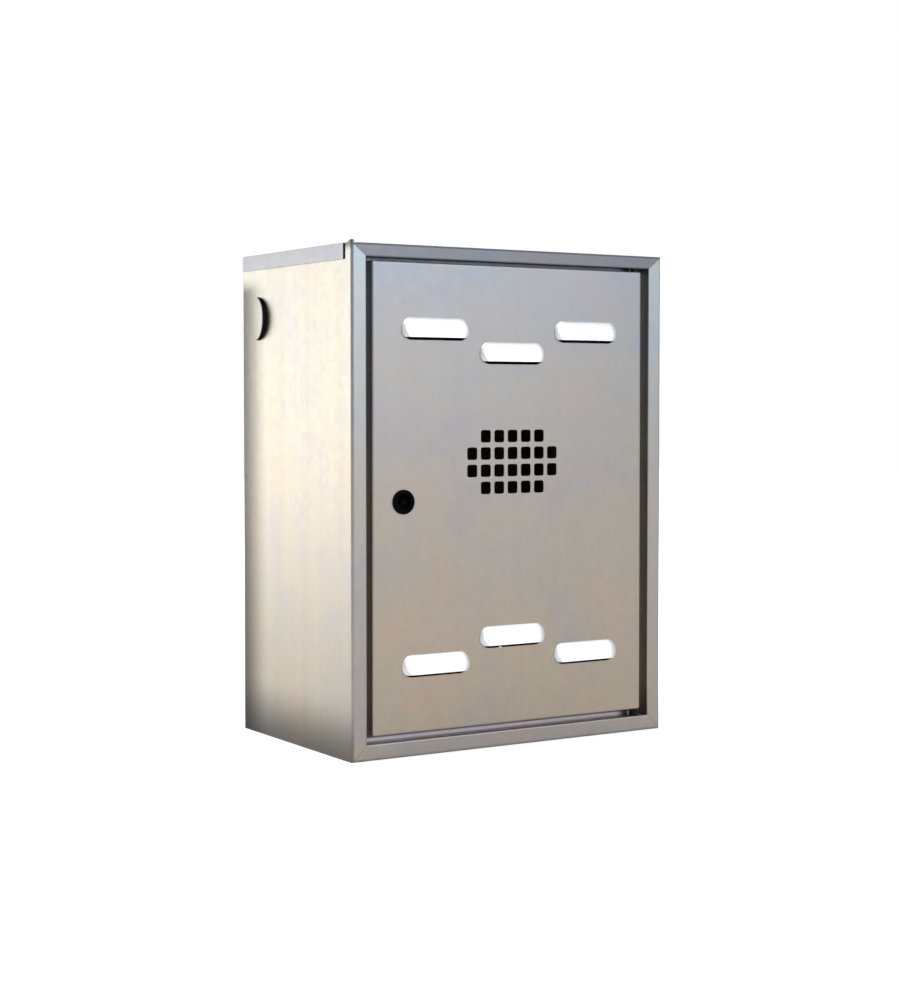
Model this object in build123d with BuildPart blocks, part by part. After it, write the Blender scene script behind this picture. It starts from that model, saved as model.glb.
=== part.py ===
from build123d import *
from math import cos, radians, sin
import os

# A folded galvanised-steel meter cabinet with one vented door.
# Millimetres, +Z up. The origin is the middle of the underside; the front faces -Y.

# Outside of the box
width = 373.0
depth = 238.0
height = 500.0
sheet = 1.0
bend = 3.0              # outside radius of a fold in the sheet
seam = 0.2              # open line where two folded pieces meet

# Door frame: the folded border round the door, with each member's face width
frame_side = 16.5
frame_top = 13.2
frame_bottom = 16.0
frame_return = 16.0     # how far the border folds back beside the door
stop_width = 9.0        # inward flange that the shut door rests against
frame_edge = 1.5        # radius of the fold round the door opening

# Door: a shallow folded tray
door_recess = 1.0       # its face behind the frame's face
door_fold = 12.0        # depth of the tray's folded edges
door_bend = 2.0
door_corner = 2.5
gap_lock = 6.7
gap_hinge = 8.9
gap_top = 3.3
gap_bottom = 7.0

# Vent hoods: six obround louvres pressed out of the door, open at their lower edge
hood_length = 79.0
hood_height = 23.5
hood_rise = 6.5
hood_brow = 1.5         # its rise at the upper edge
hood_slope = 35.0       # degrees that a hood's sides lean in
hood_mouth = 4.0        # height of the slit below each hood
hood_pitch = 90.5
hood_outer_row = 165.0  # height of the outer hoods above and below the door's middle
hood_inner_row = 142.3  # the same for the middle hood of each row

# Vent grille: rows of square holes with their corners taken off
grille_rows = (5, 7, 7, 5)
grille_hole = 11.6
grille_corner = 1.6
grille_pitch_x = 16.05
grille_pitch_z = 17.2
grille_rise = 34.0      # the grille's middle above the door's middle

# Quarter-turn lock
lock_inset = 34.5       # the lock's axis from the door's free edge
lock_drop = 3.3         # the lock's axis below the door's middle
lock_head_radius = 12.0
lock_head_rise = 1.2
lock_head_bevel = 0.5
lock_gasket = 0.8
lock_barrel_radius = 9.5
lock_flat = 16.4        # the barrel's width across its two flats
lock_nut_across = 24.0
lock_nut_height = 4.0
lock_recess_radius = 7.5
lock_recess_depth = 7.0
lock_shaft_radius = 5.5
lock_disc = 2.0
drive_radius = 4.6      # corner radius of the triangular drive post
drive_height = 4.4
cam_square = 7.0
cam_thickness = 3.0
cam_width = 18.0
cam_reach = 44.0
cam_corner = 4.0
cam_setback = 1.0       # the cam's clearance behind the door stop
screw_radius = 2.5
screw_length = 9.2      # under the screw's head
screw_hole_depth = 9.0
screw_across = 8.0
screw_head = 3.5
cam_washer_radius = 6.0
cam_washer_height = 1.2

# Hinge pins, riveted in the frame's top and bottom returns
pin_radius = 2.5
pin_inset = 5.0         # the hinge axis from the door's hinge edge
pin_depth = 5.0         # the hinge axis behind the door's face
pin_head_radius = 4.5
pin_head_height = 1.5
pin_engagement = 4.0    # how far a pin reaches into the door
hinge_spacer_radius = 4.5

# Top cover, bottom tray and pipe knock-out
lip_height = 15.5       # the cover's down-turned lips, outside the side walls
lip_setback = 15.0      # the lips start this far behind the front
lip_round = 0.8
relief_width = 3.0      # open notch at a lip's front end
tray_lip = 14.0
ear_height = 2.6        # peak left standing on the front left corner
knockout_radius = 22.5
knockout_back = 37.0    # the knock-out's middle, in front of the back
knockout_drop = 66.2    # and below the top
knockout_cut = 0.4      # width of the sheared line
knockout_tilt = 8.0     # degrees that the disc stands out from the wall
knockout_bridge = 5.0

# Wall fixing holes in the back
fixing_spacing_x = 280.0
fixing_spacing_z = 380.0
fixing_radius = 4.5

# Clearances
fixed_fit = 0.05        # between pieces that are fixed in each other
running_fit = 0.08      # radial, round a shaft that turns
face_gap = 0.2          # between flat faces that slide on each other

# Derived places
front, back = -depth / 2, depth / 2
left, right = -width / 2, width / 2
opening_left = left + frame_side
opening_right = right - frame_side
opening_bottom = frame_bottom
opening_top = height - frame_top
stop_back = front + frame_return
door_front = front + door_recess
door_left = opening_left + gap_lock
door_right = opening_right - gap_hinge
door_bottom = opening_bottom + gap_bottom
door_top = opening_top - gap_top
door_mid_x = (door_left + door_right) / 2
door_mid_z = (door_bottom + door_top) / 2
hinge_x = door_right - pin_inset
hinge_y = door_front + pin_depth
lock_x = door_left + lock_inset
lock_z = door_mid_z - lock_drop
head_back = door_front - lock_gasket
head_front = head_back - lock_head_rise
recess_floor = head_front + lock_recess_depth
cam_front = stop_back + cam_setback
cam_back = cam_front + cam_thickness
knockout_y = back - knockout_back
knockout_z = height - knockout_drop
knockout_rear = knockout_y + knockout_radius

os.makedirs("parts", exist_ok=True)


def save(piece, label):
    """Names a finished piece and writes it to its own file."""
    piece.part.label = label
    export_step(piece.part, f"parts/{label}.step")


def front_plane(y, x=0.0, z=0.0):
    """Upright plane at depth y: local x along X, local y along Z, normal towards the viewer."""
    return Plane(origin=(x, y, z), x_dir=(1, 0, 0), z_dir=(0, -1, 0))


def rectangle_between(x_low, x_high, y_low, y_high, mode=Mode.ADD):
    """A rectangle on the current sketch, given by its four sides."""
    with Locations(((x_low + x_high) / 2, (y_low + y_high) / 2)):
        Rectangle(x_high - x_low, y_high - y_low, mode=mode)


def opening(inset=0.0, mode=Mode.ADD):
    """The frame's clear opening on the current sketch, drawn in by an inset."""
    rectangle_between(
        opening_left + inset,
        opening_right - inset,
        opening_bottom + inset,
        opening_top - inset,
        mode=mode,
    )


def wall_section(mode=Mode.ADD, play=0.0):
    """Plan of the four walls, one sheet thick, with round corners."""
    with BuildSketch(mode=Mode.PRIVATE) as section:
        RectangleRounded(width + 2 * play, depth + 2 * play, bend + play)
        inner = 2 * (sheet + play)
        RectangleRounded(width - inner, depth - inner, bend - sheet - play, mode=Mode.SUBTRACT)
    add(section.sketch, mode=mode)


def mitre_line(x_sign, z_sign):
    """The mitre of one frame corner: a point outside the box and a point inside the stop flange."""
    corner = Vector(x_sign * right, height if z_sign > 0 else 0)
    inner = Vector(
        opening_right if x_sign > 0 else opening_left,
        opening_top if z_sign > 0 else opening_bottom,
    )
    run = inner - corner
    past_stop = 1 + (stop_width + sheet) / min(abs(run.X), abs(run.Y))
    return corner - run, corner + run * past_stop


def mitred_sector(start, end, growth=-seam / 2):
    """The front area of one frame member, between its two mitres: drawn in to shape the member
    itself, or grown to cut its place out of a neighbour."""
    outer_start, inner_start = mitre_line(*start)
    outer_end, inner_end = mitre_line(*end)
    with BuildLine() as outline:
        Polyline(outer_start, outer_end, inner_end, inner_start, close=True)
    make_face(outline.edges())
    offset(amount=growth, kind=Kind.INTERSECTION)


def frame_member(start, end):
    """One mitred member of the door frame: its face, the return beside the door and the stop."""
    with BuildPart() as member:
        with BuildSketch(front_plane(front)):
            rectangle_between(left, right, 0, height)
            opening(mode=Mode.SUBTRACT)
        extrude(amount=-sheet)
        with BuildSketch(front_plane(front)):
            opening(inset=-sheet)
            opening(mode=Mode.SUBTRACT)
        extrude(amount=-frame_return)
        with BuildSketch(front_plane(stop_back)):
            opening(inset=-sheet)
            opening(inset=stop_width, mode=Mode.SUBTRACT)
        extrude(amount=sheet)
        edges_round_opening = (
            member.edges()
            .filter_by_position(Axis.Y, front, front)
            .filter_by_position(Axis.X, opening_left, opening_right)
            .filter_by_position(Axis.Z, opening_bottom, opening_top)
        )
        fillet(edges_round_opening, frame_edge)
        with BuildSketch(front_plane(front)):
            mitred_sector(start, end)
        extrude(amount=-frame_return - sheet, mode=Mode.INTERSECT)
    return member.part


bottom_left, bottom_right = (-1, -1), (1, -1)
top_left, top_right = (-1, 1), (1, 1)
left_member = frame_member(bottom_left, top_left)
right_member = frame_member(top_right, bottom_right)
top_member = frame_member(top_left, top_right)
bottom_member = frame_member(bottom_right, bottom_left)

# Body wrap: both side walls and the back are one sheet, folded at the rear corners. Its front
# edges fold round to the left and right frame members, each with its return and door stop.
with BuildPart() as body_wrap:
    with BuildSketch():
        wall_section()
    extrude(amount=height - sheet)
    with BuildSketch(front_plane(front)):
        rectangle_between(left + bend, right - bend, 0, height)
    extrude(amount=-bend, mode=Mode.SUBTRACT)
    add(left_member)
    add(right_member)
    with BuildSketch():
        RectangleRounded(width, depth, bend)
    extrude(amount=height, mode=Mode.INTERSECT)
    # the cover and the tray take the corners of the front beyond the mitres
    for start, end in ((top_left, top_right), (bottom_right, bottom_left)):
        with BuildSketch(front_plane(front)):
            mitred_sector(start, end, growth=seam / 2)
        extrude(amount=-bend, mode=Mode.SUBTRACT)
    # relief notches at the front ends of the cover's lips
    with BuildSketch(Plane.YZ):
        with Locations((front + lip_setback - relief_width / 2, height - lip_height / 2)):
            Rectangle(relief_width, lip_height)
    extrude(amount=width, both=True, mode=Mode.SUBTRACT)
    # round pipe knock-out, sheared through and still held at its rear by a narrow bridge
    with BuildSketch(Plane.YZ.offset(left)):
        with Locations((knockout_y, knockout_z)):
            Circle(knockout_radius)
    extrude(amount=2 * sheet, both=True, mode=Mode.SUBTRACT)
    tilt_sin, tilt_cos = sin(radians(knockout_tilt)), cos(radians(knockout_tilt))
    knockout_plane = Plane(
        origin=(left, knockout_rear, knockout_z),
        x_dir=(-tilt_sin, -tilt_cos, 0),
        z_dir=(-tilt_cos, tilt_sin, 0),
    )
    with BuildSketch(knockout_plane):
        with Locations((knockout_radius, 0)):
            Circle(knockout_radius - knockout_cut)
    extrude(amount=-sheet)
    with BuildSketch(Plane.YZ.offset(left)):
        with Locations((knockout_rear, knockout_z)):
            Rectangle(4 * knockout_cut, knockout_bridge)
    extrude(amount=sheet)
    # wall fixing holes
    with BuildSketch(front_plane(back, 0, height / 2)):
        with GridLocations(fixing_spacing_x, fixing_spacing_z, 2, 2):
            Circle(fixing_radius)
    extrude(amount=2 * sheet, mode=Mode.SUBTRACT)
    # the peak left standing on the front left corner, sloping off along both walls
    with BuildSketch(Plane.XY.offset(height - sheet)):
        wall_section()
        ear_reach = lip_setback - relief_width
        rectangle_between(left, left + 2 * bend, front, front + ear_reach, mode=Mode.INTERSECT)
    extrude(amount=sheet + ear_height)
    ear_top = height + ear_height
    for plane, peak, foot in (
        (Plane.YZ.offset(left + bend), front + bend / 2, front + ear_reach),
        (Plane.XZ.offset(-front - bend), left + bend / 2, left + 2 * bend),
    ):
        with BuildSketch(plane):
            with BuildLine():
                Polyline((peak, ear_top), (foot, height - sheet), (foot, ear_top), close=True)
            make_face()
        extrude(amount=lip_setback, both=True, mode=Mode.SUBTRACT)
save(body_wrap, "body_wrap")

# Top cover: one folded sheet. Its lips hang outside the side walls and inside the back, and its
# front edge folds down to the frame's top member.
with BuildPart() as top_cover:
    with BuildSketch(Plane.XY.offset(height - sheet)):
        Rectangle(width, depth)
    extrude(amount=sheet)
    add(top_member)
    front_fold = top_cover.edges().filter_by(Axis.X).filter_by_position(Axis.Y, front, front)
    fillet(front_fold.group_by(Axis.Z)[-1], bend)
    with BuildSketch():
        RectangleRounded(width, depth, bend)
    extrude(amount=height, mode=Mode.INTERSECT)
    with BuildSketch(Plane.XY.offset(height)):
        rectangle_between(left - sheet, left, front + lip_setback, back - bend)
        rectangle_between(right, right + sheet, front + lip_setback, back - bend)
    extrude(amount=-lip_height)
    side_folds = top_cover.edges().filter_by(Axis.Y).filter_by_position(Axis.Z, height, height)
    outer_folds = side_folds.group_by(Axis.X)
    fillet(outer_folds[0] + outer_folds[-1], lip_round)
    with BuildSketch(Plane.XY.offset(height - sheet)):
        with Locations((0, back - 1.5 * sheet - fixed_fit)):
            Rectangle(width - 2 * lip_setback, sheet)
    extrude(amount=sheet - lip_height)
    # room for the corners of the side members and for the peak on the front left corner
    for start, end in ((bottom_left, top_left), (top_right, bottom_right)):
        with BuildSketch(front_plane(front)):
            mitred_sector(start, end, growth=seam / 2)
        extrude(amount=-sheet, mode=Mode.SUBTRACT)
    with BuildSketch(Plane.XY.offset(height - sheet)):
        wall_section(play=seam)
        rectangle_between(
            left - seam, left + 2 * bend, front - seam, front + ear_reach + seam, mode=Mode.INTERSECT
        )
    extrude(amount=sheet, mode=Mode.SUBTRACT)
    with Locations((hinge_x, hinge_y, opening_top)):
        Hole(pin_radius + fixed_fit, depth=2 * sheet)
save(top_cover, "top_cover")

# Bottom tray: one folded sheet between the walls, with up-turned lips inside them and a front
# edge that folds up to the frame's bottom member.
tray_edge = sheet + fixed_fit
inner_width = width - 2 * tray_edge
inner_depth = depth - 2 * tray_edge
lip_front, lip_back = front + lip_setback, back - lip_setback
with BuildPart() as bottom_tray:
    add(bottom_member)
    with BuildSketch():
        rectangle_between(left, right, front, front + 2 * bend)
    extrude(amount=sheet)
    front_fold = bottom_tray.edges().filter_by(Axis.X).filter_by_position(Axis.Y, front, front)
    fillet(front_fold.group_by(Axis.Z)[0], bend)
    with BuildSketch():
        RectangleRounded(width, depth, bend)
    extrude(amount=opening_bottom + stop_width + sheet, mode=Mode.INTERSECT)
    for start, end in ((bottom_left, top_left), (top_right, bottom_right)):
        with BuildSketch(front_plane(front)):
            mitred_sector(start, end, growth=seam / 2)
        extrude(amount=-bend, mode=Mode.SUBTRACT)
    with BuildSketch():
        rectangle_between(left, right, front + bend, back)
    extrude(amount=sheet, mode=Mode.SUBTRACT)
    with BuildSketch():
        RectangleRounded(inner_width, inner_depth, bend - sheet)
        rectangle_between(left, right, front, front + bend, mode=Mode.SUBTRACT)
    extrude(amount=sheet)
    with BuildSketch():
        rectangle_between(left + tray_edge, left + 2 * sheet, lip_front, lip_back)
        rectangle_between(right - 2 * sheet, right - tray_edge, lip_front, lip_back)
        rectangle_between(left + lip_setback, right - lip_setback, back - 2 * sheet, back - tray_edge)
    extrude(amount=tray_lip)
    with Locations((hinge_x, hinge_y, opening_bottom)):
        Hole(pin_radius + fixed_fit, depth=2 * sheet)
save(bottom_tray, "bottom_tray")


def hinge_pin(seat, sheet_side, tip, label):
    """A flat-headed pin riveted in a frame return, reaching from its seat to its tip in the door."""
    with BuildPart() as pin:
        with BuildSketch(Plane.XY.offset(tip)):
            with Locations((hinge_x, hinge_y)):
                Circle(pin_radius)
        extrude(amount=seat + sheet * sheet_side - tip)
        with BuildSketch(Plane.XY.offset(seat + sheet * sheet_side)):
            with Locations((hinge_x, hinge_y)):
                Circle(pin_head_radius)
        extrude(amount=pin_head_height * sheet_side)
    save(pin, label)


def hinge_spacer(low, high, label):
    """A nylon sleeve on a hinge pin, between the frame's return and the door."""
    with BuildPart() as spacer:
        with BuildSketch(Plane.XY.offset(low)):
            with Locations((hinge_x, hinge_y)):
                Circle(hinge_spacer_radius)
                Circle(pin_radius + running_fit, mode=Mode.SUBTRACT)
        extrude(amount=high - low)
    save(spacer, label)


# Hinge: two riveted pins and two nylon spacers. The door's weight rests on the lower spacer.
hinge_pin(opening_top, 1, door_top - pin_engagement, "hinge_pin_upper")
hinge_pin(opening_bottom, -1, door_bottom + pin_engagement, "hinge_pin_lower")
hinge_spacer(door_top + face_gap, opening_top, "hinge_spacer_upper")
hinge_spacer(opening_bottom, door_bottom - face_gap, "hinge_spacer_lower")


def hood_form(wall):
    """The obround pressing of one vent hood, rising from a low brow to its lower edge with sloping
    sides. A wall thickness gives the hollow inside the pressing, which runs on through the sheet."""
    inset = wall / cos(radians(hood_slope))
    roof = Plane(
        origin=(0, hood_height / 2, hood_brow),
        x_dir=(1, 0, 0),
        z_dir=(0, hood_rise - hood_brow, hood_height),
    )
    with BuildPart() as form:
        with BuildSketch() as outline:
            SlotOverall(hood_length - 2 * inset, hood_height - 2 * inset)
        extrude(amount=hood_rise - wall, taper=hood_slope)
        split(bisect_by=roof.offset(-wall), keep=Keep.BOTTOM)
        if wall > 0:
            extrude(outline.sketch, amount=-2 * wall)
    return form.part


# Door: one sheet pressed and folded into a shallow tray. The hoods are pressed outwards and open
# at their lower edge, and the grille's holes follow rows of five and seven.
hood_places = [
    (door_mid_x + column * hood_pitch, door_mid_z + row * rise)
    for row in (1, -1)
    for column, rise in ((-1, hood_outer_row), (0, hood_inner_row), (1, hood_outer_row))
]
with BuildSketch() as grille_opening:
    Rectangle(grille_hole, grille_hole)
    chamfer(grille_opening.vertices(), grille_corner)
door_face = front_plane(door_front)
with BuildPart() as door_panel:
    with BuildSketch(door_face):
        rectangle_between(door_left, door_right, door_bottom, door_top)
    extrude(amount=-door_fold)
    fillet(door_panel.edges().filter_by(Axis.Y), door_corner)
    fillet(door_panel.faces().sort_by(Axis.Y)[0].edges(), door_bend)
    offset(amount=-sheet, openings=door_panel.faces().sort_by(Axis.Y)[-1])
    with Locations(*(door_face * Location((x, z, 0)) for x, z in hood_places)):
        add(hood_form(0))
    with Locations(*(door_face * Location((x, z, 0)) for x, z in hood_places)):
        add(hood_form(sheet), mode=Mode.SUBTRACT)
    with BuildSketch(door_face):
        for x, z in hood_places:
            with Locations((x, z - hood_height / 2)):
                Rectangle(hood_length + 2 * hood_rise, 2 * hood_mouth)
    extrude(amount=2 * hood_rise, mode=Mode.SUBTRACT)
    with BuildSketch(door_face):
        for row, count in enumerate(grille_rows):
            row_z = door_mid_z + grille_rise + ((len(grille_rows) - 1) / 2 - row) * grille_pitch_z
            with Locations((door_mid_x, row_z)):
                with GridLocations(grille_pitch_x, grille_pitch_z, count, 1):
                    add(grille_opening.sketch)
        with Locations((lock_x, lock_z)):
            with BuildSketch(mode=Mode.PRIVATE) as lock_hole:
                Circle(lock_barrel_radius + fixed_fit)
                Rectangle(lock_flat + 2 * fixed_fit, 4 * lock_barrel_radius, mode=Mode.INTERSECT)
            add(lock_hole.sketch)
    extrude(amount=-2 * sheet, mode=Mode.SUBTRACT)
    with Locations((hinge_x, hinge_y, door_top), (hinge_x, hinge_y, door_bottom + 2 * sheet)):
        Hole(pin_radius + running_fit, depth=2 * sheet)
save(door_panel, "door_panel")


def lock_plane(y):
    """Upright plane on the lock's axis at depth y."""
    return front_plane(y, lock_x, lock_z)


# Lock housing: black moulded head and flatted barrel, with a deep recess for the key
with BuildPart() as lock_housing:
    with BuildSketch(lock_plane(head_back)):
        Circle(lock_head_radius)
    extrude(amount=lock_head_rise)
    chamfer(lock_housing.faces().sort_by(Axis.Y)[0].edges(), lock_head_bevel)
    with BuildSketch(lock_plane(head_back)):
        Circle(lock_barrel_radius)
        Rectangle(lock_flat, 4 * lock_barrel_radius, mode=Mode.INTERSECT)
    extrude(amount=-(cam_front - face_gap - head_back))
    with BuildSketch(lock_plane(head_front)):
        Circle(lock_recess_radius)
    extrude(amount=-lock_recess_depth, mode=Mode.SUBTRACT)
    with BuildSketch(lock_plane(head_front)):
        Circle(lock_shaft_radius + running_fit)
    extrude(amount=-2 * frame_return, mode=Mode.SUBTRACT)
save(lock_housing, "lock_housing")

# Rubber gasket under the lock's head
with BuildPart() as lock_seal:
    with BuildSketch(lock_plane(door_front)):
        Circle(lock_head_radius - fixed_fit)
        Circle(lock_barrel_radius + fixed_fit, mode=Mode.SUBTRACT)
    extrude(amount=lock_gasket)
save(lock_seal, "lock_gasket")

# Hexagonal nut that clamps the housing behind the door's sheet
with BuildPart() as lock_nut:
    with BuildSketch(lock_plane(door_front + sheet)):
        RegularPolygon(lock_nut_across / 2, 6, major_radius=False)
        Circle(lock_barrel_radius + fixed_fit, mode=Mode.SUBTRACT)
    extrude(amount=-lock_nut_height)
save(lock_nut, "lock_nut")

# Lock spindle: triangular drive post, disc and shaft, with a square end for the cam
disc_back = recess_floor - face_gap
with BuildPart() as lock_spindle:
    with BuildSketch(lock_plane(disc_back)):
        Circle(lock_recess_radius - running_fit)
    extrude(amount=lock_disc)
    with BuildSketch(lock_plane(disc_back - lock_disc)):
        RegularPolygon(drive_radius, 3, rotation=90)
    extrude(amount=drive_height)
    with BuildSketch(lock_plane(disc_back)):
        Circle(lock_shaft_radius)
    extrude(amount=disc_back - cam_front)
    with BuildSketch(lock_plane(cam_front)):
        Rectangle(cam_square, cam_square)
    extrude(amount=-cam_thickness)
    with BuildSketch(lock_plane(cam_back)):
        Circle(screw_radius + fixed_fit)
    extrude(amount=screw_hole_depth, mode=Mode.SUBTRACT)
save(lock_spindle, "lock_spindle")

# Cam: flat steel tongue, upright when unlocked, that turns behind the frame's left stop
with BuildPart() as lock_cam:
    with BuildSketch(lock_plane(cam_front)) as cam_outline:
        Circle(cam_width / 2)
        with Locations((0, -cam_reach / 2)):
            Rectangle(cam_width, cam_reach)
        fillet(cam_outline.vertices().group_by(Axis.Y)[0], cam_corner)
        Rectangle(cam_square + 2 * fixed_fit, cam_square + 2 * fixed_fit, mode=Mode.SUBTRACT)
    extrude(amount=-cam_thickness)
save(lock_cam, "lock_cam")

# Plain washer and hexagonal screw that hold the cam on the spindle
with BuildPart() as cam_washer:
    with BuildSketch(lock_plane(cam_back)):
        Circle(cam_washer_radius)
        Circle(screw_radius + fixed_fit, mode=Mode.SUBTRACT)
    extrude(amount=-cam_washer_height)
save(cam_washer, "cam_washer")

with BuildPart() as cam_screw:
    with BuildSketch(lock_plane(cam_back + cam_washer_height)):
        RegularPolygon(screw_across / 2, 6, major_radius=False)
    extrude(amount=-screw_head)
    with BuildSketch(lock_plane(cam_back + cam_washer_height)):
        Circle(screw_radius)
    extrude(amount=screw_length)
save(cam_screw, "cam_screw")
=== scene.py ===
from math import cos, hypot, pi, radians, sin, sqrt

import bmesh
import bpy
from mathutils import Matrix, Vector


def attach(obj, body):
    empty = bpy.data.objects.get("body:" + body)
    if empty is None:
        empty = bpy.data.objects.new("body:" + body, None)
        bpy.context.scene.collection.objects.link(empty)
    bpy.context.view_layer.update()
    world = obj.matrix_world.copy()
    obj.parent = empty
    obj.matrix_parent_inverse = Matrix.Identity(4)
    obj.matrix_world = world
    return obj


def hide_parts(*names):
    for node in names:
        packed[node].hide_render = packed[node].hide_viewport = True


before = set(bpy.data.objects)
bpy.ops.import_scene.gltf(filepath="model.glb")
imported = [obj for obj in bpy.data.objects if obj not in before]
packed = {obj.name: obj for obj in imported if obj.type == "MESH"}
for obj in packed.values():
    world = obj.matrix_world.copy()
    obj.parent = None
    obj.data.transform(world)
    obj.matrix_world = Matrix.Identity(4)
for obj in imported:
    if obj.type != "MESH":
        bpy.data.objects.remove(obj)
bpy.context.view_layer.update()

# The view. The cabinet is seen from its front left corner, a little above its middle, through a
# long lens from about two metres away.
camera_data = bpy.data.cameras.new("view_camera")
camera_data.sensor_width = 36.0
camera_data.lens = 68.75
camera_data.shift_y = -0.03
view_camera = bpy.data.objects.new("view_camera", camera_data)
view_azimuth, view_elevation = -31.885, 2.092
view_camera.location = (-1.0706, -1.7179, 0.349)
view_camera.rotation_euler = (radians(90 - view_elevation), 0, radians(view_azimuth))
bpy.context.scene.collection.objects.link(view_camera)
bpy.context.scene.camera = view_camera
bpy.context.scene.view_settings.view_transform = "Standard"

# The floor. A plain white sheet that takes the cabinet's soft shadow close by and is as white as
# the backdrop further out.
floor_half_width = 6.0
floor_mesh = bpy.data.meshes.new("studio_floor")
floor_mesh.from_pydata(
    [(x * floor_half_width, y * floor_half_width, 0) for x, y in ((-1, -1), (1, -1), (1, 1), (-1, 1))],
    [],
    [(0, 1, 2, 3)],
)
studio_floor = bpy.data.objects.new("studio_floor", floor_mesh)
bpy.context.scene.collection.objects.link(studio_floor)
floor_finish = bpy.data.materials.new("floor_finish")
floor_finish.use_nodes = True
tree = floor_finish.node_tree
paint = tree.nodes["Principled BSDF"]
paint.inputs["Base Color"].default_value = (0.86, 0.86, 0.86, 1)
paint.inputs["Roughness"].default_value = 0.9
paint.inputs["Specular IOR Level"].default_value = 0.0
paint.inputs["Emission Color"].default_value = (1, 1, 1, 1)
rays = tree.nodes.new("ShaderNodeLightPath")
place = tree.nodes.new("ShaderNodeTexCoord")
reach = tree.nodes.new("ShaderNodeVectorMath")
reach.operation = "LENGTH"
tree.links.new(place.outputs["Object"], reach.inputs[0])
near_glow, far_glow = 0.42, 1.0
shadow_reach, white_reach = 0.25, 0.9
glow = tree.nodes.new("ShaderNodeMapRange")
glow.interpolation_type = "SMOOTHSTEP"
glow.inputs["From Min"].default_value = shadow_reach
glow.inputs["From Max"].default_value = white_reach
glow.inputs["To Min"].default_value = near_glow
glow.inputs["To Max"].default_value = far_glow
tree.links.new(reach.outputs["Value"], glow.inputs["Value"])
seen_glow = tree.nodes.new("ShaderNodeMath")
seen_glow.operation = "MULTIPLY"
tree.links.new(glow.outputs["Result"], seen_glow.inputs[0])
tree.links.new(rays.outputs["Is Camera Ray"], seen_glow.inputs[1])
tree.links.new(seen_glow.outputs["Value"], paint.inputs["Emission Strength"])
floor_mesh.materials.append(floor_finish)

# The light. A pale sky all round, white to the camera, with a large soft lamp behind the left
# side that its wall mirrors, a smaller one behind the right side, one in front and one overhead.
studio = bpy.data.worlds.new("studio")
bpy.context.scene.world = studio
studio.use_nodes = True
tree = studio.node_tree
sky = tree.nodes["Background"]
sky.inputs["Color"].default_value = (0.90, 0.94, 1.0, 1)
sky.inputs["Strength"].default_value = 0.55
white = tree.nodes.new("ShaderNodeBackground")
white.inputs["Color"].default_value = (1, 1, 1, 1)
rays = tree.nodes.new("ShaderNodeLightPath")
pick = tree.nodes.new("ShaderNodeMixShader")
tree.links.new(rays.outputs["Is Camera Ray"], pick.inputs["Fac"])
tree.links.new(sky.outputs["Background"], pick.inputs[1])
tree.links.new(white.outputs["Background"], pick.inputs[2])
tree.links.new(pick.outputs["Shader"], tree.nodes["World Output"].inputs["Surface"])


def softbox(name, place, aim, size, watts, colour):
    """A square area lamp at a place, turned towards a point."""
    lamp = bpy.data.lights.new(name, "AREA")
    lamp.shape = "SQUARE"
    lamp.size = size
    lamp.energy = watts
    lamp.color = colour
    holder = bpy.data.objects.new(name, lamp)
    holder.location = place
    turn = (Vector(aim) - Vector(place)).to_track_quat("-Z", "Y")
    holder.rotation_euler = turn.to_euler()
    holder.visible_camera = False
    bpy.context.scene.collection.objects.link(holder)


middle = (0, 0, 0.25)
softbox("lamp_left", (-1.7, 2.1, 1.1), middle, 2.6, 62, (1.0, 0.965, 0.90))
softbox("lamp_right", (2.3, 1.3, 0.9), middle, 1.6, 24, (0.93, 0.97, 1.0))
softbox("lamp_front", (1.0, -2.65, 1.3), middle, 2.0, 23, (0.97, 0.98, 1.0))
softbox("lamp_top", (-0.4, -0.6, 2.4), middle, 1.6, 18, (0.92, 0.96, 1.0))

# Galvanised sheet. Zinc-dipped steel with soft clouds of blue, green and pink, fine crystal flakes
# and faint rolling streaks up the sheet; its colour runs from a cool top to a warm foot as a painted
# reflection of sky and ground.


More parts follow.
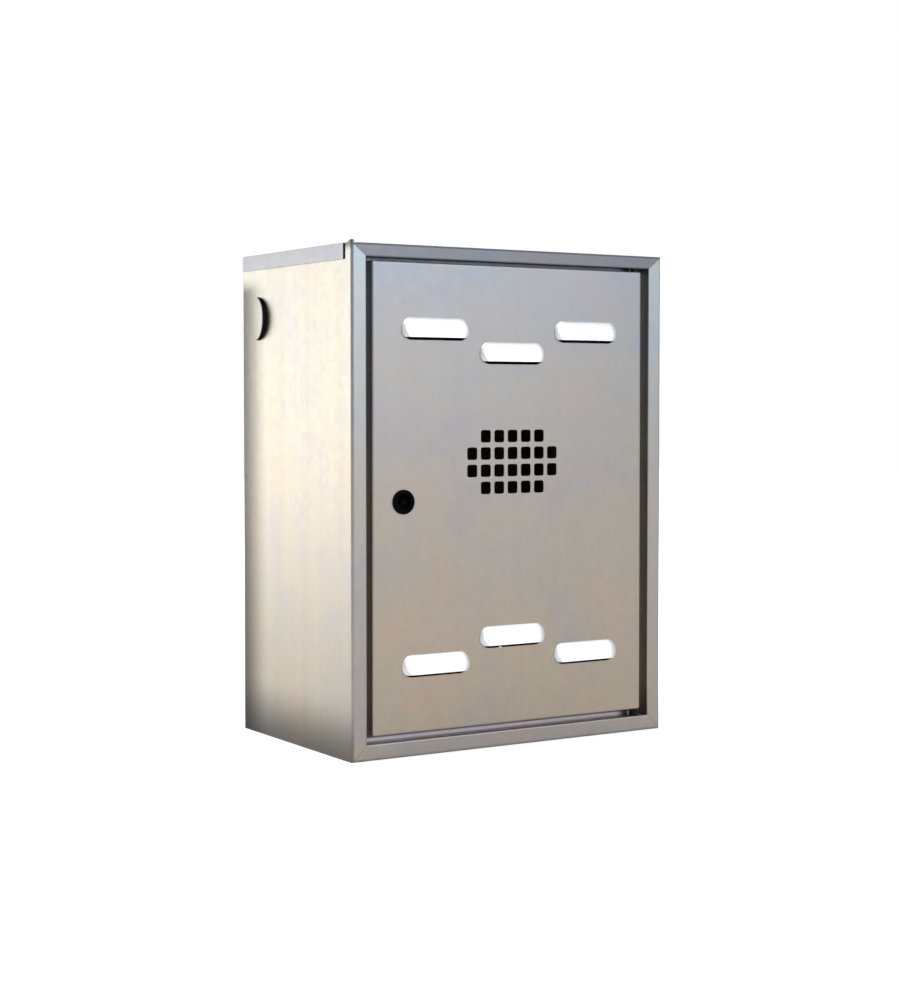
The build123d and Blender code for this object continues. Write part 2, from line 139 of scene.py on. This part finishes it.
def zinc_group():
    """The top-to-foot tone, a painted reflection of sky and ground, and the clouds, flakes and streaks of
    a zinc coat: its colour, roughness and height.
    """
    group = bpy.data.node_groups.new("zinc_coat", "ShaderNodeTree")
    for name, kind, value in (
        ("Top Zinc", "NodeSocketColor", (0.36, 0.36, 0.38, 1)),
        ("Foot Zinc", "NodeSocketColor", (0.40, 0.36, 0.33, 1)),
        ("Cloud Size", "NodeSocketFloat", 14.0),
        ("Cloud Tint", "NodeSocketFloat", 0.6),
        ("Flake Size", "NodeSocketFloat", 160.0),
        ("Flake Strength", "NodeSocketFloat", 0.05),
        ("Streak Strength", "NodeSocketFloat", 0.05),
        ("Roughness", "NodeSocketFloat", 0.42),
    ):
        socket = group.interface.new_socket(name, in_out="INPUT", socket_type=kind)
        socket.default_value = value
    for name, kind in (("Color", "NodeSocketColor"), ("Roughness", "NodeSocketFloat"),
                       ("Height", "NodeSocketFloat")):
        group.interface.new_socket(name, in_out="OUTPUT", socket_type=kind)
    nodes, links = group.nodes, group.links
    start = nodes.new("NodeGroupInput")
    end = nodes.new("NodeGroupOutput")
    place = nodes.new("ShaderNodeTexCoord")

    def swing_of(level):
        """How far a level between 0 and 1 lies from its middle."""
        swing = nodes.new("ShaderNodeMath")
        swing.operation = "SUBTRACT"
        swing.inputs[1].default_value = 0.5
        links.new(level, swing.inputs[0])
        return swing.outputs["Value"]

    # The coat's colour runs from foot to top: a painted reflection of warm ground below and cool sky
    # above.
    cabinet_height, lateness = 0.5, 1.8
    parts = nodes.new("ShaderNodeSeparateXYZ")
    links.new(place.outputs["Object"], parts.inputs["Vector"])
    rise = nodes.new("ShaderNodeMapRange")
    rise.inputs["From Max"].default_value = cabinet_height
    links.new(parts.outputs["Z"], rise.inputs["Value"])
    late_rise = nodes.new("ShaderNodeMath")
    late_rise.operation = "POWER"
    late_rise.inputs[1].default_value = lateness
    links.new(rise.outputs["Result"], late_rise.inputs[0])
    sky_ground_reflection = nodes.new("ShaderNodeMix")
    sky_ground_reflection.data_type = "RGBA"
    links.new(late_rise.outputs["Value"], sky_ground_reflection.inputs["Factor"])
    links.new(start.outputs["Foot Zinc"], sky_ground_reflection.inputs[6])
    links.new(start.outputs["Top Zinc"], sky_ground_reflection.inputs[7])

    clouds = nodes.new("ShaderNodeTexNoise")
    clouds.inputs["Detail"].default_value = 4.0
    clouds.inputs["Roughness"].default_value = 0.65
    links.new(place.outputs["Object"], clouds.inputs["Vector"])
    links.new(start.outputs["Cloud Size"], clouds.inputs["Scale"])
    tint = nodes.new("ShaderNodeValToRGB")
    blue, pink = tint.color_ramp.elements
    blue.position, blue.color = 0.34, (0.88, 0.95, 1.08, 1)
    pink.position, pink.color = 0.66, (1.07, 0.99, 0.93, 1)
    green = tint.color_ramp.elements.new(0.5)
    green.color = (0.96, 1.03, 0.96, 1)
    links.new(clouds.outputs["Fac"], tint.inputs["Fac"])
    coloured = nodes.new("ShaderNodeMix")
    coloured.data_type = "RGBA"
    coloured.blend_type = "MULTIPLY"
    links.new(start.outputs["Cloud Tint"], coloured.inputs["Factor"])
    links.new(sky_ground_reflection.outputs[2], coloured.inputs[6])
    links.new(tint.outputs["Color"], coloured.inputs[7])

    flakes = nodes.new("ShaderNodeTexVoronoi")
    links.new(place.outputs["Object"], flakes.inputs["Vector"])
    links.new(start.outputs["Flake Size"], flakes.inputs["Scale"])
    flake_level = nodes.new("ShaderNodeSeparateColor")
    links.new(flakes.outputs["Color"], flake_level.inputs["Color"])
    flake_swing = swing_of(flake_level.outputs["Red"])
    flake_shade = nodes.new("ShaderNodeMath")
    flake_shade.operation = "MULTIPLY_ADD"
    flake_shade.inputs[2].default_value = 1.0
    links.new(flake_swing, flake_shade.inputs[0])
    links.new(start.outputs["Flake Strength"], flake_shade.inputs[1])

    across_streaks, along_streaks = 60, 1.5
    drawn_out = nodes.new("ShaderNodeVectorMath")
    drawn_out.operation = "MULTIPLY"
    drawn_out.inputs[1].default_value = (across_streaks, across_streaks, along_streaks)
    links.new(place.outputs["Object"], drawn_out.inputs[0])
    streaks = nodes.new("ShaderNodeTexNoise")
    streaks.inputs["Scale"].default_value = 1.0
    links.new(drawn_out.outputs["Vector"], streaks.inputs["Vector"])
    streak_shade = nodes.new("ShaderNodeMath")
    streak_shade.operation = "MULTIPLY_ADD"
    links.new(swing_of(streaks.outputs["Fac"]), streak_shade.inputs[0])
    links.new(start.outputs["Streak Strength"], streak_shade.inputs[1])
    links.new(flake_shade.outputs["Value"], streak_shade.inputs[2])
    shaded = nodes.new("ShaderNodeVectorMath")
    shaded.operation = "SCALE"
    links.new(coloured.outputs[2], shaded.inputs[0])
    links.new(streak_shade.outputs["Value"], shaded.inputs["Scale"])
    links.new(shaded.outputs["Vector"], end.inputs["Color"])

    flake_roughness = 0.06
    rough = nodes.new("ShaderNodeMath")
    rough.operation = "MULTIPLY_ADD"
    rough.inputs[1].default_value = flake_roughness
    links.new(flake_swing, rough.inputs[0])
    links.new(start.outputs["Roughness"], rough.inputs[2])
    links.new(rough.outputs["Value"], end.inputs["Roughness"])

    waves = nodes.new("ShaderNodeTexNoise")
    waves.inputs["Scale"].default_value = 6.0
    waves.inputs["Detail"].default_value = 1.0
    links.new(place.outputs["Object"], waves.inputs["Vector"])
    links.new(waves.outputs["Fac"], end.inputs["Height"])
    return group


zinc_coat = zinc_group()


def zinc_finish(name, **values):
    """A galvanised finish with its own values for the zinc coat."""
    finish = bpy.data.materials.new(name)
    finish.use_nodes = True
    tree = finish.node_tree
    metal = tree.nodes["Principled BSDF"]
    metal.inputs["Metallic"].default_value = 1.0
    coat = tree.nodes.new("ShaderNodeGroup")
    coat.node_tree = zinc_coat
    for socket, value in values.items():
        coat.inputs[socket.replace("_", " ").title()].default_value = value
    bump = tree.nodes.new("ShaderNodeBump")
    bump.inputs["Strength"].default_value = 0.5
    bump.inputs["Distance"].default_value = 0.0015
    tree.links.new(coat.outputs["Color"], metal.inputs["Base Color"])
    tree.links.new(coat.outputs["Roughness"], metal.inputs["Roughness"])
    tree.links.new(coat.outputs["Height"], bump.inputs["Height"])
    tree.links.new(bump.outputs["Normal"], metal.inputs["Normal"])
    return finish


def dress(node, finish):
    """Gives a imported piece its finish."""
    for slot in packed[node].material_slots:
        slot.material = finish


# Body wrap. The side walls have a warm bright coat with painted shade along the foot, on the corner's peak
# and beside the rear folds below the cover, and the frame's face has a cooler one.
body_zinc = zinc_finish("body_zinc", top_zinc=(0.42, 0.46, 0.49, 1), foot_zinc=(0.44, 0.37, 0.33, 1))
tree = body_zinc.node_tree
metal = tree.nodes["Principled BSDF"]
frame_coat = metal.inputs["Base Color"].links[0].from_node
wall_coat = tree.nodes.new("ShaderNodeGroup")
wall_coat.node_tree = zinc_coat
# The wall's coat is painted darker at the top and lighter at the foot, to even out the light that falls on
# it.
wall_coat.inputs["Top Zinc"].default_value = (0.340, 0.320, 0.300, 1)
wall_coat.inputs["Foot Zinc"].default_value = (0.460, 0.405, 0.355, 1)
wall_coat.inputs["Streak Strength"].default_value = 0.16
place = tree.nodes.new("ShaderNodeTexCoord")
parts = tree.nodes.new("ShaderNodeSeparateXYZ")
tree.links.new(place.outputs["Object"], parts.inputs["Vector"])
facing = tree.nodes.new("ShaderNodeSeparateXYZ")
tree.links.new(place.outputs["Normal"], facing.inputs["Vector"])
sideways = tree.nodes.new("ShaderNodeMath")
sideways.operation = "ABSOLUTE"
tree.links.new(facing.outputs["X"], sideways.inputs[0])
# Painted shade: a dark band along the foot, on the corner's peak, and beside the rear folds below the
# cover.
foot_shade, foot_height = 0.32, 0.065
rear_shade, rear_width, rear_fold = 0.20, 0.060, 0.119
cover_edge, cover_fade = 0.478, 0.018
peak_shade, peak_level, peak_fade = 0.30, 0.499, 0.008


def painted_shade_ramp(axis, start, end, low):
    """A painted shade factor that rises from a low value at one place along an axis to one at another;
    with a low of nought it is a plain mask.
    """
    wear = tree.nodes.new("ShaderNodeMapRange")
    wear.interpolation_type = "SMOOTHSTEP"
    wear.inputs["From Min"].default_value = start
    wear.inputs["From Max"].default_value = end
    wear.inputs["To Min"].default_value = low
    tree.links.new(parts.outputs[axis], wear.inputs["Value"])
    return wear.outputs["Result"]


foot_painted_shade = painted_shade_ramp("Z", 0, foot_height, foot_shade)
peak_painted_shade = painted_shade_ramp("Z", peak_level, peak_level - peak_fade, peak_shade)
rear_painted_shade = painted_shade_ramp("Y", rear_fold, rear_fold - rear_width, rear_shade)
unshaded_top = painted_shade_ramp("Z", cover_edge - cover_fade, cover_edge, 0)
low_rear_painted_shade = tree.nodes.new("ShaderNodeMix")
low_rear_painted_shade.inputs[3].default_value = 1.0
tree.links.new(unshaded_top, low_rear_painted_shade.inputs["Factor"])
tree.links.new(rear_painted_shade, low_rear_painted_shade.inputs[2])
ends_painted_shade = tree.nodes.new("ShaderNodeMath")
ends_painted_shade.operation = "MULTIPLY"
tree.links.new(foot_painted_shade, ends_painted_shade.inputs[0])
tree.links.new(peak_painted_shade, ends_painted_shade.inputs[1])
wall_painted_shade = tree.nodes.new("ShaderNodeMath")
wall_painted_shade.operation = "MULTIPLY"
tree.links.new(ends_painted_shade.outputs["Value"], wall_painted_shade.inputs[0])
tree.links.new(low_rear_painted_shade.outputs[0], wall_painted_shade.inputs[1])
wall_coat_shaded = tree.nodes.new("ShaderNodeVectorMath")
wall_coat_shaded.operation = "SCALE"
tree.links.new(wall_coat.outputs["Color"], wall_coat_shaded.inputs[0])
tree.links.new(wall_painted_shade.outputs["Value"], wall_coat_shaded.inputs["Scale"])
either = tree.nodes.new("ShaderNodeMix")
either.data_type = "RGBA"
tree.links.new(sideways.outputs["Value"], either.inputs["Factor"])
tree.links.new(frame_coat.outputs["Color"], either.inputs[6])
tree.links.new(wall_coat_shaded.outputs["Vector"], either.inputs[7])
tree.links.new(either.outputs[2], metal.inputs["Base Color"])
dress("body_wrap", body_zinc)

# Top cover and bottom tray. The cover is the duller sheet. The tray has a warm coat, and the stop
# below the door has a painted highlight along its foot and a painted shadow in the gap under the door.
dress("top_cover", zinc_finish("cover_zinc", top_zinc=(0.208, 0.210, 0.240, 1)))
tray_zinc = zinc_finish("tray_zinc", foot_zinc=(0.43, 0.37, 0.345, 1))
tree = tray_zinc.node_tree
metal = tree.nodes["Principled BSDF"]
coat = metal.inputs["Base Color"].links[0].from_node
place = tree.nodes.new("ShaderNodeTexCoord")
parts = tree.nodes.new("ShaderNodeSeparateXYZ")
tree.links.new(place.outputs["Object"], parts.inputs["Vector"])
# The stop carries painted light: a painted highlight near its foot and a painted shadow above it under the
# door.
stop_foot, stop_top = 0.015, 0.025
up_stop = tree.nodes.new("ShaderNodeMapRange")
up_stop.inputs["From Min"].default_value = stop_foot
up_stop.inputs["From Max"].default_value = stop_top
tree.links.new(parts.outputs["Z"], up_stop.inputs["Value"])
stop_light_ramp = tree.nodes.new("ShaderNodeValToRGB")
plain, stop_painted_shadow = stop_light_ramp.color_ramp.elements
plain.position, plain.color = 0.1, (1, 1, 1, 1)
stop_painted_shadow.position, stop_painted_shadow.color = 0.54, (0.30, 0.30, 0.34, 1)
for position in (0.18, 0.38):
    stop_painted_highlight = stop_light_ramp.color_ramp.elements.new(position)
    stop_painted_highlight.color = (1.45, 1.55, 1.85, 1)
tree.links.new(up_stop.outputs["Result"], stop_light_ramp.inputs["Fac"])
stop_painted_light = tree.nodes.new("ShaderNodeMix")
stop_painted_light.data_type = "RGBA"
stop_painted_light.blend_type = "MULTIPLY"
stop_painted_light.inputs["Factor"].default_value = 1.0
tree.links.new(coat.outputs["Color"], stop_painted_light.inputs[6])
tree.links.new(stop_light_ramp.outputs["Color"], stop_painted_light.inputs[7])
tree.links.new(stop_painted_light.outputs[2], metal.inputs["Base Color"])
dress("bottom_tray", tray_zinc)

# Door. A pressed tray with folded edges: its face carries the grille's holes and six domed hoods,
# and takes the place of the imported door.
door_cad = packed["door_panel"]
corners = [Vector(corner) for corner in door_cad.bound_box]
door_low = Vector(min(corner[axis] for corner in corners) for axis in range(3))
door_high = Vector(max(corner[axis] for corner in corners) for axis in range(3))
door_fold, door_bend, door_corner, sheet = 0.012, 0.002, 0.0025, 0.001
face_inset = door_bend + 0.001
door_size = door_high - door_low
door_middle = (door_low + door_high) / 2
door_front = door_high.y - door_fold
# The door's coat, cool at the top and warm at the foot, carries the painted reflection of sky and ground.
door_zinc = zinc_finish("door_zinc", top_zinc=(0.350, 0.362, 0.410, 1), foot_zinc=(0.47, 0.385, 0.315, 1))
# The hoods' near-white coat is a painted reflection of the bright sky on their upturned faces.
hood_painted_glare = zinc_finish("hood_painted_glare", top_zinc=(0.90, 0.91, 0.92, 1), foot_zinc=(0.90, 0.90, 0.90, 1),
                        cloud_tint=0.1)
hood_radius, hood_straight, hood_mouth = 0.01175, 0.02775, -0.00775
hood_rise, hood_brow, hood_edge = 0.0053, 0.0016, 0.008


def folded_edge():
    """The door's folded edge, lofted through rounded rectangles from its face round to its back."""
    bend_steps, corner_steps = 5, 6
    least_radius = 0.0005
    outer = [(face_inset, 0.0)]
    for step in range(bend_steps + 1):
        angle = pi / 2 * step / bend_steps
        outer.append((door_bend * (1 - sin(angle)), door_bend * (1 - cos(angle))))
    outer.append((0.0, door_fold))
    inner = [(sheet, door_fold)]
    inner_bend = door_bend - sheet
    for step in range(bend_steps + 1):
        angle = pi / 2 * (1 - step / bend_steps)
        inner.append((sheet + inner_bend * (1 - sin(angle)), sheet + inner_bend * (1 - cos(angle))))
    inner.append((face_inset, sheet))
    shell = bmesh.new()
    rings = []
    for inset, depth in outer + inner:
        radius = max(door_corner - inset, least_radius)
        ring = []
        for quarter, (x_sign, z_sign) in enumerate(((1, 1), (-1, 1), (-1, -1), (1, -1))):
            centre_x = x_sign * (door_size.x / 2 - inset - radius)
            centre_z = z_sign * (door_size.z / 2 - inset - radius)
            for step in range(corner_steps + 1):
                angle = pi / 2 * (quarter + step / corner_steps)
                ring.append(shell.verts.new((
                    door_middle.x + centre_x + radius * cos(angle),
                    door_front + depth,
                    door_middle.z + centre_z + radius * sin(angle),
                )))
        rings.append(ring)
    for one, two in zip(rings, rings[1:]):
        for index in range(len(one)):
            after = (index + 1) % len(one)
            shell.faces.new((one[index], one[after], two[after], two[index]))
    bmesh.ops.recalc_face_normals(shell, faces=shell.faces)
    mesh = bpy.data.meshes.new("door_skin")
    shell.to_mesh(mesh)
    shell.free()
    return mesh


def hood_shell():
    """One domed hood, flat on its local ground: x along it, y up the door and z outwards."""
    rows, columns = 14, 40
    weld, wall = 0.00001, 0.0008
    shell = bmesh.new()
    grid = []
    for row in range(rows + 1):
        v = hood_mouth + (hood_radius - hood_mouth) * sin(pi / 2 * row / rows)
        half = hood_straight + sqrt(max(hood_radius**2 - v**2, 0))
        line = []
        for column in range(columns + 1):
            u = half * sin(pi / 2 * (2 * column / columns - 1))
            past = max(abs(u) - hood_straight, 0)
            inward = hood_radius - hypot(past, v) if v > 0 else half - abs(u)
            inward = min(max(inward, 0) / hood_edge, 1)
            swell = hood_brow + (hood_rise - hood_brow) * (hood_radius - v) / (hood_radius - hood_mouth)
            line.append(shell.verts.new((u, v, swell * sqrt(1 - (1 - inward) ** 2))))
        grid.append(line)
    for low, high in zip(grid, grid[1:]):
        for column in range(columns):
            shell.faces.new((low[column], low[column + 1], high[column + 1], high[column]))
    mesh = bpy.data.meshes.new("hood_shell")
    bmesh.ops.remove_doubles(shell, verts=shell.verts, dist=weld)
    bmesh.ops.solidify(shell, geom=shell.faces[:], thickness=wall)
    shell.to_mesh(mesh)
    shell.free()
    for polygon in mesh.polygons:
        polygon.use_smooth = True
    return bpy.data.objects.new("hood_shell", mesh)


def face_group():
    """The door's face: a sheet with a lock hole, rows of rounded square holes and hooded slots."""
    group = bpy.data.node_groups.new("vented_face", "GeometryNodeTree")
    group.interface.new_socket("Geometry", in_out="INPUT", socket_type="NodeSocketGeometry")
    for name, kind in (
        ("Width", "Float"), ("Height", "Float"), ("Sheet", "Float"), ("Hole Width", "Float"),
        ("Hole Height", "Float"), ("Hole Corner", "Float"), ("Hood", "Object"),
        ("Sheet Finish", "Material"), ("Hood Finish", "Material"),
    ):
        group.interface.new_socket(name, in_out="INPUT", socket_type="NodeSocket" + kind)
    group.interface.new_socket("Geometry", in_out="OUTPUT", socket_type="NodeSocketGeometry")
    nodes, links = group.nodes, group.links
    start = nodes.new("NodeGroupInput")
    end = nodes.new("NodeGroupOutput")
    outlines = nodes.new("GeometryNodeJoinGeometry")

    edge = nodes.new("GeometryNodeCurvePrimitiveQuadrilateral")
    links.new(start.outputs["Width"], edge.inputs["Width"])
    links.new(start.outputs["Height"], edge.inputs["Height"])
    links.new(edge.outputs["Curve"], outlines.inputs["Geometry"])

    hole = nodes.new("GeometryNodeCurvePrimitiveQuadrilateral")
    links.new(start.outputs["Hole Width"], hole.inputs["Width"])
    links.new(start.outputs["Hole Height"], hole.inputs["Height"])
    rounded = nodes.new("GeometryNodeFilletCurve")
    rounded.mode = "POLY"
    rounded.inputs["Count"].default_value = 5
    links.new(hole.outputs["Curve"], rounded.inputs["Curve"])
    links.new(start.outputs["Hole Corner"], rounded.inputs["Radius"])

    def placed(form, columns, rows, pitch_x, pitch_z, rise):
        """A form repeated on a grid of columns and rows, whose middle is raised on the door."""
        points = nodes.new("GeometryNodeMeshGrid")
        points.inputs["Vertices X"].default_value = columns
        points.inputs["Vertices Y"].default_value = rows
        points.inputs["Size X"].default_value = pitch_x * (columns - 1)
        points.inputs["Size Y"].default_value = pitch_z * (rows - 1)
        raised = nodes.new("GeometryNodeTransform")
        raised.inputs["Translation"].default_value = (0, rise, 0)
        links.new(points.outputs["Mesh"], raised.inputs["Geometry"])
        copies = nodes.new("GeometryNodeInstanceOnPoints")
        links.new(raised.outputs["Geometry"], copies.inputs["Points"])
        links.new(form, copies.inputs["Instance"])
        return copies.outputs["Instances"]

    def finished(form, finish, chosen=None):
        """A form with one of the two finishes, all over or on its chosen faces."""
        paint = nodes.new("GeometryNodeSetMaterial")
        links.new(form, paint.inputs["Geometry"])
        links.new(start.outputs[finish], paint.inputs["Material"])
        if chosen is not None:
            links.new(chosen, paint.inputs["Selection"])
        return paint.outputs["Geometry"]

    def joined(*forms):
        """Several forms as one."""
        join = nodes.new("GeometryNodeJoinGeometry")
        for form in forms:
            links.new(form, join.inputs["Geometry"])
        return join.outputs["Geometry"]

    grille_x, grille_z, grille_rise = 0.01605, 0.0172, 0.034
    links.new(placed(rounded.outputs["Curve"], 5, 4, grille_x, grille_z, grille_rise),
              outlines.inputs["Geometry"])
    links.new(placed(rounded.outputs["Curve"], 2, 2, 6 * grille_x, grille_z, grille_rise),
              outlines.inputs["Geometry"])

    slot = nodes.new("GeometryNodeCurvePrimitiveQuadrilateral")
    slot_margin = 1.2 * sheet
    slot_radius = hood_radius - slot_margin
    slot_fillet = slot_radius * 0.999
    slot.inputs["Width"].default_value = 2 * (hood_straight + slot_radius)
    slot.inputs["Height"].default_value = 2 * slot_radius
    slot_round = nodes.new("GeometryNodeFilletCurve")
    slot_round.mode = "POLY"
    slot_round.inputs["Count"].default_value = 12
    slot_round.inputs["Radius"].default_value = slot_fillet
    links.new(slot.outputs["Curve"], slot_round.inputs["Curve"])
    pressed = nodes.new("GeometryNodeObjectInfo")
    links.new(start.outputs["Hood"], pressed.inputs["Object"])
    hoods = nodes.new("GeometryNodeJoinGeometry")
    hood_pitch, outer_row, inner_row = 0.0905, 0.165, 0.1423
    for form, target in ((slot_round.outputs["Curve"], outlines), (pressed.outputs["Geometry"], hoods)):
        links.new(placed(form, 2, 2, 2 * hood_pitch, 2 * outer_row, 0), target.inputs["Geometry"])
        for row in (inner_row, -inner_row):
            links.new(placed(form, 1, 1, 0, 0, row), target.inputs["Geometry"])

    lock_radius, lock_inset, lock_drop = 0.0096, 0.0345, 0.0033
    lock_hole = nodes.new("GeometryNodeCurvePrimitiveCircle")
    lock_hole.inputs["Resolution"].default_value = 32
    lock_hole.inputs["Radius"].default_value = lock_radius
    lock_place = nodes.new("GeometryNodeTransform")
    lock_place.inputs["Translation"].default_value = (lock_inset - door_size.x / 2, -lock_drop, 0)
    links.new(lock_hole.outputs["Curve"], lock_place.inputs["Geometry"])
    links.new(lock_place.outputs["Geometry"], outlines.inputs["Geometry"])

    real_outlines = nodes.new("GeometryNodeRealizeInstances")
    links.new(outlines.outputs["Geometry"], real_outlines.inputs["Geometry"])
    filled = nodes.new("GeometryNodeFillCurve")
    links.new(real_outlines.outputs["Geometry"], filled.inputs["Curve"])
    sunk = nodes.new("GeometryNodeTransform")
    sunk.inputs["Translation"].default_value = (0, 0, -sheet)
    links.new(filled.outputs["Mesh"], sunk.inputs["Geometry"])
    raised_face = nodes.new("GeometryNodeExtrudeMesh")
    raised_face.inputs["Individual"].default_value = False
    links.new(sunk.outputs["Geometry"], raised_face.inputs["Mesh"])
    links.new(start.outputs["Sheet"], raised_face.inputs["Offset Scale"])
    underside = nodes.new("GeometryNodeFlipFaces")
    links.new(sunk.outputs["Geometry"], underside.inputs["Mesh"])
    face = finished(joined(raised_face.outputs["Mesh"], underside.outputs["Mesh"]), "Sheet Finish")
    real_hoods = nodes.new("GeometryNodeRealizeInstances")
    links.new(hoods.outputs["Geometry"], real_hoods.inputs["Geometry"])
    normal = nodes.new("GeometryNodeInputNormal")
    outward = nodes.new("ShaderNodeSeparateXYZ")
    links.new(normal.outputs["Normal"], outward.inputs["Vector"])
    faces_out = nodes.new("FunctionNodeCompare")
    links.new(outward.outputs["Z"], faces_out.inputs["A"])
    hollow_hoods = finished(real_hoods.outputs["Geometry"], "Sheet Finish")
    # The outward hood faces take the hood finish, whose near-white colour is a painted reflection.
    bright_hoods = finished(hollow_hoods, "Hood Finish", faces_out.outputs["Result"])

    upright = nodes.new("GeometryNodeTransform")
    upright.inputs["Translation"].default_value = (door_middle.x, door_front, door_middle.z)
    upright.inputs["Rotation"].default_value = (pi / 2, 0, 0)
    links.new(joined(face, bright_hoods), upright.inputs["Geometry"])
    edge_form = finished(start.outputs["Geometry"], "Sheet Finish")
    links.new(joined(edge_form, upright.outputs["Geometry"]), end.inputs["Geometry"])
    return group


door_skin = bpy.data.objects.new("door_skin", folded_edge())
bpy.context.scene.collection.objects.link(door_skin)
hood = hood_shell()
pressing = door_skin.modifiers.new("vented_face", "NODES")
pressing.node_group = face_group()
face_inputs = {
    "Width": door_size.x - 2 * face_inset,
    "Height": door_size.z - 2 * face_inset,
    "Sheet": sheet,
    "Hole Width": 0.0118,
    "Hole Height": 0.0125,
    "Hole Corner": 0.0024,
    "Hood": hood,
    "Sheet Finish": door_zinc,
    "Hood Finish": hood_painted_glare,
}
for item in pressing.node_group.interface.items_tree:
    if item.in_out == "INPUT" and item.name in face_inputs:
        pressing[item.identifier] = face_inputs[item.name]
bpy.context.view_layer.update()
solid_skin = bpy.data.meshes.new_from_object(
    door_skin.evaluated_get(bpy.context.evaluated_depsgraph_get())
)
door_skin.modifiers.clear()
door_skin.data = solid_skin
bpy.data.objects.remove(hood)
sharpest_curve = radians(35)
solid_skin.shade_smooth()
solid_skin.set_sharp_from_angle(angle=sharpest_curve)
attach(door_skin, "door")
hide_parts("door_panel")

# The lock and the hinges. A black moulded head and key post, a rubber seal, black nylon spacers,
# and plated steel fasteners.


def moulded(name, shade, roughness):
    """A dull black moulded finish with a fine grain."""
    blue_cast, grain_size, grain_swing = 1.08, 900.0, 0.1
    finish = bpy.data.materials.new(name)
    finish.use_nodes = True
    tree = finish.node_tree
    skin = tree.nodes["Principled BSDF"]
    skin.inputs["Base Color"].default_value = (shade, shade, shade * blue_cast, 1)
    skin.inputs["Specular IOR Level"].default_value = 0.04
    place = tree.nodes.new("ShaderNodeTexCoord")
    grain = tree.nodes.new("ShaderNodeTexNoise")
    grain.inputs["Scale"].default_value = grain_size
    tree.links.new(place.outputs["Object"], grain.inputs["Vector"])
    rough = tree.nodes.new("ShaderNodeMapRange")
    rough.inputs["To Min"].default_value = roughness - grain_swing
    rough.inputs["To Max"].default_value = roughness + grain_swing
    tree.links.new(grain.outputs["Fac"], rough.inputs["Value"])
    tree.links.new(rough.outputs["Result"], skin.inputs["Roughness"])
    return finish


lock_black = moulded("lock_black", 0.0015, 0.7)
for piece in ("lock_housing", "lock_spindle"):
    dress(piece, lock_black)
dress("lock_gasket", moulded("gasket_rubber", 0.010, 0.85))
spacer_nylon = moulded("spacer_nylon", 0.015, 0.6)
for piece in ("hinge_spacer_upper", "hinge_spacer_lower"):
    dress(piece, spacer_nylon)
plated_steel = zinc_finish("plated_steel", top_zinc=(0.62, 0.62, 0.60, 1), foot_zinc=(0.62, 0.62, 0.60, 1),
                           cloud_tint=0.2, roughness=0.3)
for piece in ("lock_nut", "lock_cam", "cam_washer", "cam_screw", "hinge_pin_upper", "hinge_pin_lower"):
    dress(piece, plated_steel)
